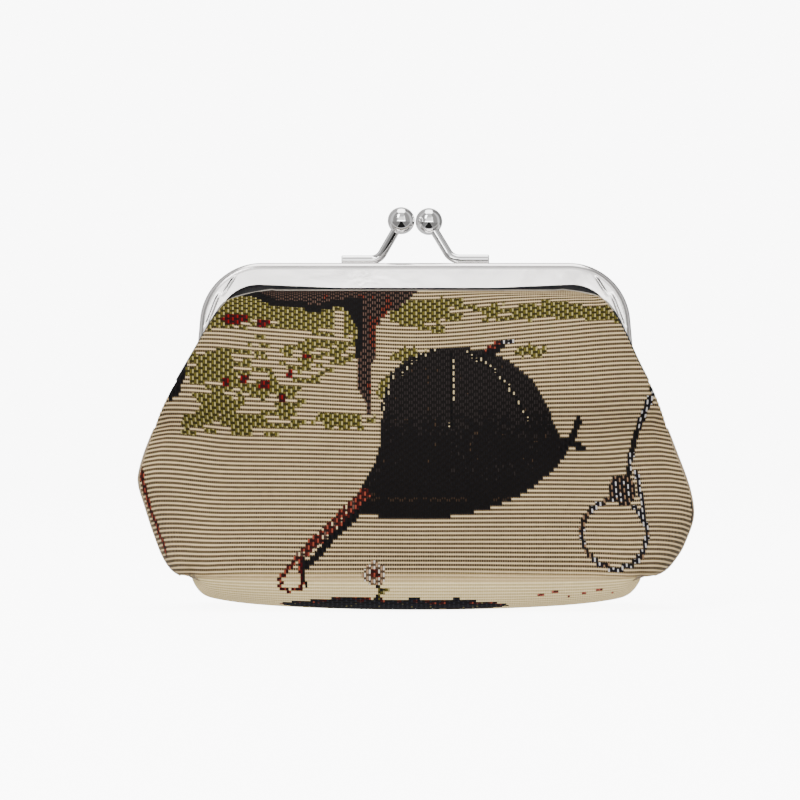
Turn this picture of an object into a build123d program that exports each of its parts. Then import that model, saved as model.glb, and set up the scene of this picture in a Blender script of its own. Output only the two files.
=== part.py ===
from build123d import *

import os

# A kiss-lock coin purse: a boxed-bottom cloth bag on a two-part nickel-plated frame.
# Millimetres. X runs across the purse, -Y is the front, +Z is up, and the origin is on the
# surface it stands on, under the middle of the base.

# Frame: two stamped U-channels, back to back, that turn on one line through both rivets
FRAME_TOP = 86.6  # top of the closed frame above the base
HINGE_Z = 50.0  # height of the hinge line
HINGE_HALF_SPAN = 56.0  # outer face of the arms at the hinge line
CORNER_HALF_SPAN = 52.8  # where the arms' outer line meets the top line
FLARE = (HINGE_HALF_SPAN - CORNER_HALF_SPAN) / (FRAME_TOP - HINGE_Z)  # the arms spread downwards
CORNER_RADIUS = 15.5
INNER_CORNER_RADIUS = 10.5
ARM_WIDTH = 4.4  # channel depth along the arms
BAR_DEPTH = 6.3  # channel depth at the middle of the top bar
BAR_DEPTH_AT_CORNER = 5.1
BAR_DEEP_HALF = 20.0  # the top bar keeps its full depth this far from the middle
BAR_BEND_RADIUS = 60.0  # where the bar's lower edge starts to rise
CHANNEL_END_Z = HINGE_Z + 4.0  # the channels stop here, and only the ears go lower
SHEET = 0.6  # steel thickness
HALF_GAP = 0.15  # each half's flat back stands this far from the middle plane
CHANNEL_THICK = 4.45  # one half, front to back
FRONT_ROUND = 1.7  # outer bend of the channel
BACK_ROUND = 0.7

# Hinge ears, rivets and washers
EAR_RADIUS = 3.2
EAR_THICK = 0.7
EAR_GAP = 0.1  # between the two ears of one hinge
EAR_RISE = 8.0  # how far the ear runs up its arm, past the hinge line
EAR_NECK_RISE = 3.0
RIVET_RADIUS = 1.2
RIVET_CLEARANCE = 0.05
RIVET_HEAD_RADIUS = 2.3
RIVET_HEAD_HEIGHT = 1.0
RIVET_HEAD_ROUND = 0.6
RIVET_TAIL_RADIUS = 1.9
RIVET_TAIL_HEIGHT = 0.5
WASHER_RADIUS = 2.4
WASHER_THICK = 0.4
STACK_GAP = 0.05  # between the rivet's heads, the washer and the ears

# Clasp: a bent rod and a ball on each half, and the balls snap past each other
ROD_RADIUS = 1.15
ROD_FLAT = 0.15  # depth of the flat under the foot
FOOT_END_X = 18.6
FOOT_BEND_X = 9.2
FOOT_BEND_RADIUS = 3.4
FOOT_Y = -1.9
FOOT_END_ROUND = 0.3
BALL_RADIUS = 3.42
BALL_X = 3.5
BALL_Z = 97.3
BALL_LEAN = 1.6  # how far past the middle plane each ball stands when shut
SOCKET_CLEARANCE = 0.02
SOCKET_DEPTH = 2.2  # how far the rod goes into its ball

# Cloth: tapestry outside, fleece interlining, satin lining
TAPESTRY = 0.9
FLEECE = 0.6
LINING = 0.3
PLY_GAP = 0.05
SEAM_HALF_GAP = 0.05
SIDE_INSET = 1.9  # the walls slant at the side seams, so plies are nested more across X
SEAM_HALF = 0.9  # half width of the turned seam at the sides
CLOTH_TOP = 79.5

# Room left in the cloth for the arms and their hinges
ARM_SPACE_X = 46.0
ARM_SPACE_Y = 4.95
ARM_SPACE_Z = 45.5

# What is held in the channel with the cloth's edge
BINDING = 1.2
BINDING_SHOWS = 0.7  # how far it stands out of the channel
BINDING_INSET = 2.0  # from the frame's outside line
PAPER_CORD_RADIUS = 0.75
CHANNEL_FIT = 0.05  # clearance between what is in the channel and its walls

# The bag level by level: height, half width, half width of the end, half depth
BAG_LEVELS = [
    (0.0, 51.5, 12.5, 16.5),
    (3.0, 55.0, 16.0, 20.2),
    (7.5, 57.6, 17.0, 21.9),
    (13.0, 63.5, 11.5, 21.9),
    (20.0, 67.6, 5.0, 21.5),
    (29.0, 69.9, SEAM_HALF, 20.6),
    (37.0, 68.0, 2.6, 19.6),
    (44.0, 65.3, 6.3, 18.0),
    (50.0, 62.6, 7.4, 16.2),
    (58.0, 58.4, 7.1, 13.3),
    (64.5, 54.5, 6.9, 10.8),
    (71.0, 48.5, 5.6, 8.0),
    (76.0, 45.0, 4.4, 5.7),
    (CLOTH_TOP, 42.0, 3.8, 4.0),
]
BASE_BLEND_Z = 13.0  # plies are nested upwards below this height

os.makedirs("parts", exist_ok=True)


def save(name, builder):
    builder.part.label = name
    export_step(builder.part, f"parts/{name}.step")


def arm_outside(height):
    """Half the distance across the arms' outer line at a height."""
    return HINGE_HALF_SPAN - FLARE * (height - HINGE_Z)


def outer_line(end_z, inset=0.0):
    """The arch along the frame's outside, down to end_z, moved inwards by inset."""
    end_x = arm_outside(end_z) - inset
    top_z = FRAME_TOP - inset
    top_x = arm_outside(top_z) - inset
    return FilletPolyline(
        (-end_x, end_z), (-top_x, top_z), (top_x, top_z), (end_x, end_z), radius=CORNER_RADIUS - inset
    )


def inner_line(end_z, inset=0.0):
    """The arch along the frame's inside edge, moved inwards by inset."""
    corner_z = FRAME_TOP - BAR_DEPTH_AT_CORNER - inset
    corner_x = arm_outside(corner_z) - ARM_WIDTH - inset
    end_x = arm_outside(end_z) - ARM_WIDTH - inset
    bar_z = FRAME_TOP - BAR_DEPTH - inset
    corner = INNER_CORNER_RADIUS - inset
    return FilletPolyline(
        (-end_x, end_z),
        (-corner_x, corner_z),
        (-BAR_DEEP_HALF, bar_z),
        (BAR_DEEP_HALF, bar_z),
        (corner_x, corner_z),
        (end_x, end_z),
        radius=[corner, BAR_BEND_RADIUS, BAR_BEND_RADIUS, corner],
    )


def on_outside(edge):
    """True for an edge on the arch's outside line, false for its inside line and its ends."""
    middle = edge @ 0.5
    on_arm = middle.Z > CHANNEL_END_Z + SHEET and abs(middle.X) > arm_outside(middle.Z) - SHEET
    on_bar = middle.Z > FRAME_TOP - SHEET
    at_corner = (
        abs(middle.X) > CORNER_HALF_SPAN - CORNER_RADIUS / 2 and middle.Z > FRAME_TOP - CORNER_RADIUS / 2
    )
    return on_arm or on_bar or at_corner


def frame_half(ear_inside_x):
    """One stamped channel with its two ears, made as the front half."""
    with BuildPart() as half:
        with BuildSketch(Plane.XZ.offset(HALF_GAP)):
            with BuildLine():
                arch = outer_line(CHANNEL_END_Z)
                Line(arch @ 0, arch @ 1)
            make_face()
            with BuildLine() as mouth:
                opening = inner_line(CHANNEL_END_Z)
                Line(opening @ 0, opening @ 1)
            make_face(mouth.edges(), mode=Mode.SUBTRACT)
        extrude(amount=CHANNEL_THICK)
        front_rim = half.faces().sort_by(Axis.Y)[0].edges()
        fillet(front_rim.filter_by(on_outside), FRONT_ROUND)
        back_rim = half.faces().sort_by(Axis.Y)[-1].edges()
        fillet(back_rim.filter_by(on_outside), BACK_ROUND)
        # the pocket that takes the cloth's edge, open inwards
        with BuildSketch(Plane.XZ.offset(HALF_GAP + SHEET)):
            with BuildLine():
                pocket = outer_line(CHANNEL_END_Z - EAR_RADIUS, SHEET)
                Line(pocket @ 0, pocket @ 1)
            make_face()
        extrude(amount=CHANNEL_THICK - 2 * SHEET, mode=Mode.SUBTRACT)
        # the ears: a round end on the hinge line and a tab up the inside of the arm
        for start_x in (ear_inside_x, -ear_inside_x - EAR_THICK):
            with BuildSketch(Plane.YZ.offset(start_x)):
                with Locations((0, HINGE_Z)):
                    Circle(EAR_RADIUS)
                with BuildLine():
                    Polyline(
                        (-HALF_GAP, HINGE_Z),
                        (-HALF_GAP, HINGE_Z + EAR_RISE),
                        (FRONT_ROUND - CHANNEL_THICK, HINGE_Z + EAR_RISE),
                        (-EAR_RADIUS, HINGE_Z + EAR_NECK_RISE),
                        (-EAR_RADIUS, HINGE_Z),
                        close=True,
                    )
                make_face()
            extrude(amount=EAR_THICK)
        with Locations((0, 0, HINGE_Z)):
            Cylinder(
                RIVET_RADIUS + RIVET_CLEARANCE, 3 * HINGE_HALF_SPAN, rotation=(0, 90, 0), mode=Mode.SUBTRACT
            )
    return half


# The front half's ears lie inside the back half's
back_ear_x = HINGE_HALF_SPAN - EAR_THICK
front_ear_x = back_ear_x - EAR_GAP - EAR_THICK

frame_front = frame_half(front_ear_x)
save("frame_front", frame_front)

back_as_front = frame_half(back_ear_x)
with BuildPart() as frame_back:
    mirror(back_as_front.part, about=Plane.XZ)
save("frame_back", frame_back)

# Rivets: domed head outside, flat inner head over the washer
washer_x = front_ear_x - STACK_GAP - WASHER_THICK
tail_x = washer_x - STACK_GAP
head_x = HINGE_HALF_SPAN + STACK_GAP
for side_name, side in (("left", -1), ("right", 1)):
    outwards = Plane((0, 0, HINGE_Z), x_dir=(0, 1, 0), z_dir=(side, 0, 0))
    with BuildPart() as rivet:
        with BuildSketch(outwards.offset(tail_x - RIVET_TAIL_HEIGHT)):
            Circle(RIVET_TAIL_RADIUS)
        extrude(amount=RIVET_TAIL_HEIGHT)
        with BuildSketch(outwards.offset(tail_x)):
            Circle(RIVET_RADIUS)
        extrude(amount=head_x - tail_x)
        with BuildSketch(outwards.offset(head_x)):
            Circle(RIVET_HEAD_RADIUS)
        extrude(amount=RIVET_HEAD_HEIGHT)
        dome_edge = rivet.edges().filter_by(GeomType.CIRCLE).sort_by(Axis.X)[-1 if side > 0 else 0]
        fillet(dome_edge, RIVET_HEAD_ROUND)
    save(f"hinge_rivet_{side_name}", rivet)

    with BuildPart() as washer:
        with BuildSketch(outwards.offset(washer_x)):
            Circle(WASHER_RADIUS)
            Circle(RIVET_RADIUS + RIVET_CLEARANCE, mode=Mode.SUBTRACT)
        extrude(amount=WASHER_THICK)
    save(f"hinge_washer_{side_name}", washer)


def clasp_rod(radius):
    """The front half's rod, from its foot on the frame to inside its ball."""
    foot_z = FRAME_TOP + ROD_RADIUS - ROD_FLAT
    bend = Vector(FOOT_BEND_X, FOOT_Y, foot_z)
    ball = Vector(BALL_X, BALL_LEAN, BALL_Z)
    tip = ball - (ball - bend).normalized() * (BALL_RADIUS - SOCKET_DEPTH)
    with BuildPart() as rod:
        with BuildLine() as path:
            FilletPolyline((FOOT_END_X, FOOT_Y, foot_z), bend, tip, radius=FOOT_BEND_RADIUS)
        with BuildSketch(Plane(path.line @ 0, z_dir=path.line % 0)):
            Circle(radius)
        sweep(path=path.line)
    return rod


plain_rod = clasp_rod(ROD_RADIUS)
with BuildPart() as clasp_arm_front:
    add(plain_rod.part)
    foot_end = clasp_arm_front.edges().filter_by(GeomType.CIRCLE).sort_by(Axis.X)[-1]
    fillet(foot_end, FOOT_END_ROUND)
    with Locations((0, 0, FRAME_TOP)):
        Box(
            3 * FOOT_END_X,
            CHANNEL_THICK * 3,
            BAR_DEPTH,
            align=(Align.CENTER, Align.CENTER, Align.MAX),
            mode=Mode.SUBTRACT,
        )
save("clasp_arm_front", clasp_arm_front)

socket_rod = clasp_rod(ROD_RADIUS + SOCKET_CLEARANCE)
with BuildPart() as clasp_ball_front:
    with Locations((BALL_X, BALL_LEAN, BALL_Z)):
        Sphere(BALL_RADIUS)
    add(socket_rod.part, mode=Mode.SUBTRACT)
save("clasp_ball_front", clasp_ball_front)

# The back half's clasp is the front one turned half round about the upright axis
for clasp_name, front_clasp in (("clasp_arm_back", clasp_arm_front), ("clasp_ball_back", clasp_ball_front)):
    with BuildPart() as back_clasp:
        add(front_clasp.part, rotation=(0, 0, 180))
    save(clasp_name, back_clasp)

# The black binding and the paper cord, pressed together into each channel
binding_front_y = HALF_GAP + CHANNEL_THICK - SHEET - CHANNEL_FIT
cord_y = HALF_GAP + SHEET + CHANNEL_FIT + PAPER_CORD_RADIUS
cord_inset = SHEET + CHANNEL_FIT + PAPER_CORD_RADIUS
ears_top = HINGE_Z + EAR_RISE
with BuildPart() as edge_binding_front:
    with BuildSketch(Plane.XZ.offset(binding_front_y - BINDING)):
        with BuildLine():
            band_outside = outer_line(CHANNEL_END_Z, BINDING_INSET)
            Line(band_outside @ 0, band_outside @ 1)
        make_face()
        with BuildLine() as band_mouth:
            band_inside = inner_line(CHANNEL_END_Z, BINDING_SHOWS)
            Line(band_inside @ 0, band_inside @ 1)
        make_face(band_mouth.edges(), mode=Mode.SUBTRACT)
    extrude(amount=BINDING)
save("edge_binding_front", edge_binding_front)

with BuildPart() as paper_cord_front:
    with BuildLine(Plane.XZ.offset(cord_y)) as cord_line:
        outer_line(ears_top + PAPER_CORD_RADIUS, cord_inset)
    with BuildSketch(Plane(cord_line.line @ 0, z_dir=cord_line.line % 0)):
        Circle(PAPER_CORD_RADIUS)
    sweep(path=cord_line.line)
save("paper_cord_front", paper_cord_front)

for trim_name, front_trim in (
    ("edge_binding_back", edge_binding_front),
    ("paper_cord_back", paper_cord_front),
):
    with BuildPart() as back_trim:
        mirror(front_trim.part, about=Plane.XZ)
    save(trim_name, back_trim)


def bag_form(depth):
    """The bag as a solid, its surface moved inwards by depth."""
    with BuildPart() as form:
        for height, half_width, end_half, half_depth in BAG_LEVELS:
            rise = depth * max(0.0, 1.0 - height / BASE_BLEND_Z)
            wide = half_width - SIDE_INSET * depth
            end = max(SEAM_HALF, end_half - depth)
            deep = half_depth - depth
            with BuildSketch(Plane.XY.offset(height + rise)):
                with BuildLine():
                    ThreePointArc((-wide, -end), (0, -deep), (wide, -end))
                    Line((wide, -end), (wide, end))
                    ThreePointArc((wide, end), (0, deep), (-wide, end))
                    Line((-wide, end), (-wide, -end))
                make_face()
        loft()
    return form


def front_ply(outside, inside):
    """The front half of the shell between two nested forms, clear of the frame's arms."""
    with BuildPart() as ply:
        add(outside.part)
        add(inside.part, mode=Mode.SUBTRACT)
        with Locations((0, -SEAM_HALF_GAP, 0)):
            Box(
                4 * HINGE_HALF_SPAN,
                2 * HINGE_HALF_SPAN,
                2 * FRAME_TOP,
                align=(Align.CENTER, Align.MIN, Align.CENTER),
                mode=Mode.SUBTRACT,
            )
        for side in (-1, 1):
            with Locations((side * (ARM_SPACE_X + HINGE_HALF_SPAN / 2), 0, ARM_SPACE_Z)):
                Box(
                    HINGE_HALF_SPAN,
                    2 * ARM_SPACE_Y,
                    FRAME_TOP,
                    align=(Align.CENTER, Align.CENTER, Align.MIN),
                    mode=Mode.SUBTRACT,
                )
    return ply


ply_start = 0.0
for ply_name, ply_thick in (("outer_panel", TAPESTRY), ("interlining", FLEECE), ("lining", LINING)):
    outside_form = bag_form(ply_start)
    inside_form = bag_form(ply_start + ply_thick)
    front = front_ply(outside_form, inside_form)
    save(f"{ply_name}_front", front)
    with BuildPart() as back:
        mirror(front.part, about=Plane.XZ)
    save(f"{ply_name}_back", back)
    ply_start += ply_thick + PLY_GAP
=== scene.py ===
import math

import bpy
import numpy as np
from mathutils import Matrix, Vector


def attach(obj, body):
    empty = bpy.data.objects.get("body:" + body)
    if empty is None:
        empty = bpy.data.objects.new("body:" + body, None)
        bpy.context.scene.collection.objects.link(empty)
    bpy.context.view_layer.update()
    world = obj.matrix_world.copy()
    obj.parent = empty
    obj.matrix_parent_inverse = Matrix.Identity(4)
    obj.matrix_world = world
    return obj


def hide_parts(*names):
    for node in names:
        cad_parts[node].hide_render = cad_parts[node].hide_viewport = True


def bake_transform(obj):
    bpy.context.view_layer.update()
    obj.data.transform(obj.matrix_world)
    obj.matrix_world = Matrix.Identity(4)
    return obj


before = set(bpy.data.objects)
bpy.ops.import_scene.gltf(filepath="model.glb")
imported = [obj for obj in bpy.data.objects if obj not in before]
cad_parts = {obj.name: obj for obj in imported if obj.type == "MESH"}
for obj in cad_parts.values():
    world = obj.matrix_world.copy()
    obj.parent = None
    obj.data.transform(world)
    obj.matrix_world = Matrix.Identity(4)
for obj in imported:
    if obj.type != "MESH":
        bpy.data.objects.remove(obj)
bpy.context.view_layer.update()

MM = 0.001
HINGE_Z = 50.0
FOLD_Z = 7.6  # the fold between the panel's face and the base
TOP_Z = 79.9  # the panel's top edge, just under the frame's lip
PERIOD = 1.6  # rows from one upright stitch to the next above it

# Weave: one stitch is one rib high and one warp pair wide
STITCH_U = 1.15
STITCH_V = 1.03
STEPS = (0.0, 0.18, 0.5, 0.82)  # where the mesh has a line inside a stitch
RIB_HEIGHT = 0.17
CHAIN_HEIGHT = 0.15

# The panel's outline from the front, (height, distance from the middle)
LEFT_OUTLINE = (
    (7.6, 57.8), (8.4, 59.9), (9.6, 61.4), (11.6, 62.8), (13.9, 64.0), (16.6, 65.0), (19.9, 66.2),
    (22.7, 67.1), (26.5, 68.3), (30.2, 69.5), (32.5, 69.8), (35.8, 69.1), (39.3, 68.0), (43.3, 66.4),
    (46.9, 64.8), (50.7, 63.0), (53.4, 61.6), (57.7, 59.2), (61.5, 57.0), (65.8, 54.5), (70.0, 52.1),
    (73.0, 50.3), (76.4, 48.1), (78.0, 45.4), (79.1, 42.0), (79.6, 38.0), (79.9, 36.0),
)
RIGHT_OUTLINE = (
    (7.6, 58.4), (8.3, 61.4), (9.6, 63.3), (11.3, 64.8), (14.4, 67.0), (17.6, 68.4), (20.7, 69.6),
    (22.8, 70.1), (24.9, 70.1), (27.2, 69.8), (30.5, 69.0), (34.0, 67.8), (38.6, 66.0), (43.1, 64.3),
    (47.1, 62.6), (51.4, 60.8), (54.7, 59.4), (58.2, 57.6), (61.7, 55.8), (64.3, 54.6), (67.3, 53.3),
    (71.8, 51.2), (74.8, 49.5), (77.2, 47.6), (79.0, 44.6), (79.6, 41.0), (79.9, 37.0),
)
# Half depth at the middle, and at the side where the panel turns back to the arm
DEPTH = (
    (7.6, 21.7), (9.5, 22.0), (13, 21.9), (20, 21.6), (29, 20.7), (37, 19.5), (44, 17.9), (50, 16.1),
    (58, 13.4), (64.5, 10.9), (71, 8.2), (76, 6.2), (78.6, 4.9), (79.9, 3.9),
)
SIDE_DEPTH = (
    (7.6, 0.02), (43, 0.02), (46, 2.2), (50, 6.2), (53, 7.2), (60, 7.4), (66, 7.0), (72, 6.2),
    (76, 5.6), (78.6, 4.7), (79.9, 3.8),
)
EDGE_DEPTH = ((7.6, 0.0), (43, 0.0), (46, 2.0), (50, 4.6), (52, 5.0), (75, 5.0), (78.6, 4.4), (79.9, 3.6))
# Powers of the curve that each row takes from the front to the side: high is boxy, low is round
BOXINESS = (
    (7.6, 9.0), (10, 7.0), (14, 4.8), (20, 3.3), (29, 2.5), (37, 2.3), (50, 2.4), (60, 3), (70, 4), (79.9, 8),
)
CORNER = ((7.6, 0.30), (10, 0.36), (14, 0.48), (20, 0.70), (29, 0.92), (37, 1.0), (79.9, 1.0))
CURL_RETURN = 2.6  # how far the cloth runs back inwards behind the frame's arm
# 0 keeps the rows evenly apart, 1 brings as many of them to the frame at the side as in the middle
ROW_FAN_LEFT, ROW_FAN_RIGHT = 0.75, 0.85
SIDE_LINES = 200  # lines from the middle to one side
HEIGHTS = np.arange(FOLD_Z, TOP_Z + 0.01, 0.35)


def profile(table, heights, sigma):
    """A table's values at these heights, rounded off over about sigma."""
    per_mm = 10
    fine = np.arange(table[0][0], table[-1][0] + 1 / per_mm, 1 / per_mm)
    values = np.interp(fine, [t[0] for t in table], [t[1] for t in table])
    reach = int(sigma * (3 * per_mm))
    taps = np.exp(-0.5 * (np.arange(-reach, reach + 1) / (sigma * per_mm)) ** 2)
    before = 2 * values[0] - values[reach:0:-1]
    after = 2 * values[-1] - values[-2 : -reach - 2 : -1]
    padded = np.concatenate([before, values, after])
    return np.interp(heights, fine, np.convolve(padded, taps / taps.sum(), mode="valid"))


def smooth(low, high, x):
    """0 before low, 1 after high, and an even rise between."""
    t = np.clip((x - low) / (high - low), 0.0, 1.0)
    return t * t * (3 - 2 * t)


def along(points):
    """Distance along a line of points, from its first."""
    steps = np.linalg.norm(np.diff(points, axis=0), axis=1)
    return np.concatenate([[0.0], np.cumsum(steps)])


def resampled(line, far, at):
    """The line's points at these distances, where far is the distance of each of its own."""
    return np.stack([np.interp(at, far, line[:, axis]) for axis in range(line.shape[1])], 1)


def half_surface(outline, side):
    """Points (height, line, xyz) of the panel's face on one side of the middle."""
    wide = profile(outline, HEIGHTS, 0.7)
    deep = profile(DEPTH, HEIGHTS, 1.5)
    end = profile(SIDE_DEPTH, HEIGHTS, 1.2)
    edge = profile(EDGE_DEPTH, HEIGHTS, 1.2)
    box = profile(BOXINESS, HEIGHTS, 1.0)
    corner = profile(CORNER, HEIGHTS, 1.0)
    t = 1 - (1 - np.linspace(0, 1, 260)) ** 3  # finer towards the side
    turn = np.linspace(-math.pi / 2, math.pi / 2, 24)
    surface = np.zeros((len(HEIGHTS), SIDE_LINES + 1, 3))
    for i, z in enumerate(HEIGHTS):
        curl = max(0.02, (end[i] - edge[i]) / 2)
        reach = wide[i] - curl
        x = reach * t
        y = -(end[i] + (deep[i] - end[i]) * (1 - t ** box[i]) ** corner[i])
        x = np.concatenate([x, reach + curl * np.cos(turn), [reach - CURL_RETURN * smooth(0.1, 0.8, curl)]])
        y = np.concatenate([y, -(end[i] - curl) + curl * np.sin(turn), [-(end[i] - 2 * curl)]])
        line = np.stack([side * x, y], 1)
        far = along(line)
        surface[i, :, :2] = resampled(line, far, np.linspace(0, far[-1], SIDE_LINES + 1))
        surface[i, :, 2] = z
    # the rows rise a little towards the lower corners
    lift = 0.9 * (surface[:, :, 0] / 57.0) ** 4 * np.exp(-(surface[:, :, 2] - FOLD_Z) / 6.0)
    surface[:, :, 2] += np.minimum(lift, 1.6)
    return surface


def rows_of(surface, heights):
    """The surface's lines at these lengths of cloth above the fold, as (row, line, xyz).

    The rows spread towards the sides, so that as many of them reach the frame there as in the middle.
    """
    out = np.zeros((len(heights), surface.shape[1], 3))
    middle = along(surface[:, SIDE_LINES])[-1]
    for j in range(surface.shape[1]):
        column = surface[:, j]
        far = along(column)
        fan = ROW_FAN_LEFT if j < SIDE_LINES else ROW_FAN_RIGHT
        far = far * (1 + fan * (middle / far[-1] - 1))
        out[:, j] = resampled(column, far, heights)
    return out


LEFT = half_surface(LEFT_OUTLINE, -1)
RIGHT = half_surface(RIGHT_OUTLINE, 1)
SURFACE = np.concatenate([LEFT[:, ::-1], RIGHT[:, 1:]], axis=1)


def face_grid(v_lines, u_lines):
    """The face at these cloth heights (mm above the fold) and distances from the middle.

    Also gives how much cloth is left between each point and the nearer side.
    """
    rows = rows_of(SURFACE, v_lines)
    grid = np.zeros((len(v_lines), len(u_lines), 3))
    room = np.zeros((len(v_lines), len(u_lines)))
    for i, line in enumerate(rows):
        left, right = along(line[: SIDE_LINES + 1][::-1]), along(line[SIDE_LINES:])
        far = np.concatenate([-left[::-1], right[1:]])
        grid[i] = resampled(line, far, u_lines)
        room[i] = np.minimum(u_lines - far[0], far[-1] - u_lines)
    return grid, np.clip(room, 0, None)


def base_rise(share):
    """The base seam's height as a share of the fold's, at this share of the way to its end."""
    return 0.35 * share**2 + 0.25 * share**8 + 0.4 * share**40


def stitch_lines(first, last):
    """The mesh's lines across these stitches."""
    cells = np.arange(first, last)
    lines = (cells[:, None] + np.array(STEPS)[None]).ravel()
    return np.append(lines, last)


COLUMNS = 72  # stitches from the middle to one side
FACE_ROWS = 84
BASE_ROWS = 26
BASE_END_DEPTH = 15.5  # the base ends where the fold line is this far from the side seams
BASE_TUCK = 1.7  # how much the sewn box corners draw in each end of the base

u_lines = stitch_lines(-COLUMNS, COLUMNS)
v_lines = stitch_lines(0, FACE_ROWS)
face, room = face_grid(v_lines * STITCH_V, u_lines * STITCH_U)

# The base hangs from the fold line and runs back to the seam under the middle
fold = face[0]
inside = np.where(np.abs(fold[:, 1]) > BASE_END_DEPTH)[0]
first, last = inside[0], inside[-1]
base_u = u_lines[first : last + 1]
fold_line = fold[first : last + 1]
base_steps = stitch_lines(-BASE_ROWS, 0)
base = np.zeros((len(base_steps), len(base_u), 3))
left_side = fold[: first + 1][np.argsort(np.abs(fold[: first + 1, 1]))]
right_side = fold[last:][np.argsort(np.abs(fold[last:, 1]))]
across = 1 - (1 - np.linspace(0, 1, 160)) ** 1.5  # from the middle seam to the fold, finer near the fold
for j, (x0, y0, z0) in enumerate(fold_line):
    side_line, end_x = (left_side, fold_line[0, 0]) if x0 < 0 else (right_side, fold_line[-1, 0])
    y = y0 * across
    x = np.interp(np.abs(y), np.abs(side_line[:, 1]), side_line[:, 0]) * (x0 / end_x)
    rise = base_rise(abs(x0 / end_x))
    z = z0 * (rise + (1 - rise) * across**6)
    line = np.stack([x, y, z], 1)
    far = along(line)
    base[:, j] = resampled(line, far, far[-1] * (1 + base_steps / BASE_ROWS))
tuck = smooth(0.0, 2.2, -base_steps * STITCH_V)[:, None] * smooth(50.0, 57.5, np.abs(base[..., 0]))
base[..., 0] -= np.sign(base[..., 0]) * BASE_TUCK * tuck

# --- the woven picture ---


def srgb(r, g, b):
    """A colour given in sRGB numbers up to 255, as linear ones."""
    c = np.array([r, g, b], float) / 255.0
    return np.where(c <= 0.04045, c / 12.92, ((c + 0.055) / 1.055) ** 2.4)


CREAM, SHADE = srgb(210, 184, 140), srgb(13, 8, 4)
# painted light: the next pair are the cream and groove yarns painted paler, a painted brightening for the
# light from below and for the grooves the ribs hide there
UNDERLIT_CREAM, UNDERLIT_GROOVE = srgb(252, 232, 178), srgb(204, 176, 124)
OLIVE, OLIVE_DARK = srgb(156, 144, 92), srgb(88, 80, 26)
BLACK, BLACK_DARK = srgb(16, 15, 17), srgb(3, 3, 4)
BROWN, BROWN_DARK = srgb(90, 68, 58), srgb(18, 10, 8)
RED, RED_DARK = srgb(120, 8, 12), srgb(58, 3, 6)
RUST, RUST_DARK = srgb(136, 60, 44), srgb(62, 14, 12)
ROPE, NAVY = srgb(188, 184, 182), srgb(10, 10, 22)
TAN, EMBER, SEAM = srgb(128, 100, 76), srgb(120, 50, 34), srgb(176, 160, 124)
LEAF, COAL, BERRY = (OLIVE, OLIVE_DARK), (BLACK, BLACK_DARK), (RED, RED_DARK)
COPPER, CORD, BARK = (RUST, RUST_DARK), (ROPE, NAVY), (BROWN, BROWN_DARK)

RIB, CHAIN, DOTS = 0.0, 1.0, 2.0  # level ribs, upright stitches, small dots on a dark ground
EVEN = math.inf  # noise that doesn't change this way


class Picture:
    """Kind, light yarn and dark yarn of the stitches at x and z: plain cream ribs until they are filled."""

    def __init__(self, x, z):
        self.x, self.z = x, z
        self.kind = np.full(x.shape, RIB)
        self.light = np.tile(CREAM, x.shape + (1,))
        self.dark = np.tile(SHADE, x.shape + (1,))

    def fill(self, where, pair, how=CHAIN):
        self.kind[where] = how
        self.light[where], self.dark[where] = pair

    def stroke(self, points, half_wide, pair):
        self.fill(self.away(points) < half_wide, pair)

    def noise(self, wide, high, seed):
        """Smooth noise from 0 to 1 that changes over this width and height."""
        return value_noise(self.x / wide, self.z / high, seed)

    def oval(self, x, z, wide, high):
        """Distance from a point, as a share of an oval's size."""
        return np.hypot((self.x - x) / wide, (self.z - z) / high)

    def within(self, points):
        """True inside a closed line of (x, z) points."""
        found = np.zeros(self.x.shape, bool)
        for (xa, za), (xb, zb) in zip(points, points[1:] + points[:1]):
            crosses = (za > self.z) != (zb > self.z)
            with np.errstate(divide="ignore", invalid="ignore"):
                at = xa + (self.z - za) / (zb - za) * (xb - xa)
            found ^= crosses & (self.x < at)
        return found

    def away(self, points):
        """Distance to an open line of (x, z) points."""
        best = np.full(self.x.shape, 1e9)
        for (xa, za), (xb, zb) in zip(points, points[1:]):
            dx, dz = xb - xa, zb - za
            x, z = self.x - xa, self.z - za
            t = np.clip((x * dx + z * dz) / (dx * dx + dz * dz + 1e-9), 0, 1)
            best = np.minimum(best, np.hypot(x - t * dx, z - t * dz))
        return best


def rounded(points):
    """The points cut at their corners until the line is smooth."""
    for _ in range(3):
        cut = []
        for a, b in zip(points, points[1:] + points[:1]):
            cut.append((0.75 * a[0] + 0.25 * b[0], 0.75 * a[1] + 0.25 * b[1]))
            cut.append((0.25 * a[0] + 0.75 * b[0], 0.25 * a[1] + 0.75 * b[1]))
        points = cut
    return points


def value_noise(x, z, seed):
    """Smooth noise from 0 to 1 that changes over a distance of 1."""
    table = np.random.default_rng(seed).random((64, 64))
    xi, zi = np.floor(x).astype(int), np.floor(z).astype(int)
    tx, tz = x - xi, z - zi
    tx, tz = tx * tx * (3 - 2 * tx), tz * tz * (3 - 2 * tz)
    low = table[zi % 64, xi % 64] * (1 - tx) + table[zi % 64, (xi + 1) % 64] * tx
    high = table[(zi + 1) % 64, xi % 64] * (1 - tx) + table[(zi + 1) % 64, (xi + 1) % 64] * tx
    return low * (1 - tz) + high * tz


def patches(x, z, seed):
    """Uneven, level patches from 0 to 1, like foliage woven in rows."""
    row = np.floor(z / STITCH_V)
    wide = value_noise(x / 10.0, z / 4.2, seed)
    small = value_noise(x / 3.2, z / 2.4, seed + 1)
    streak = value_noise(x / 3.4 + 17.3 * row, 0 * z, seed + 2)
    return 0.34 * wide + 0.27 * small + 0.39 * streak


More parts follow.
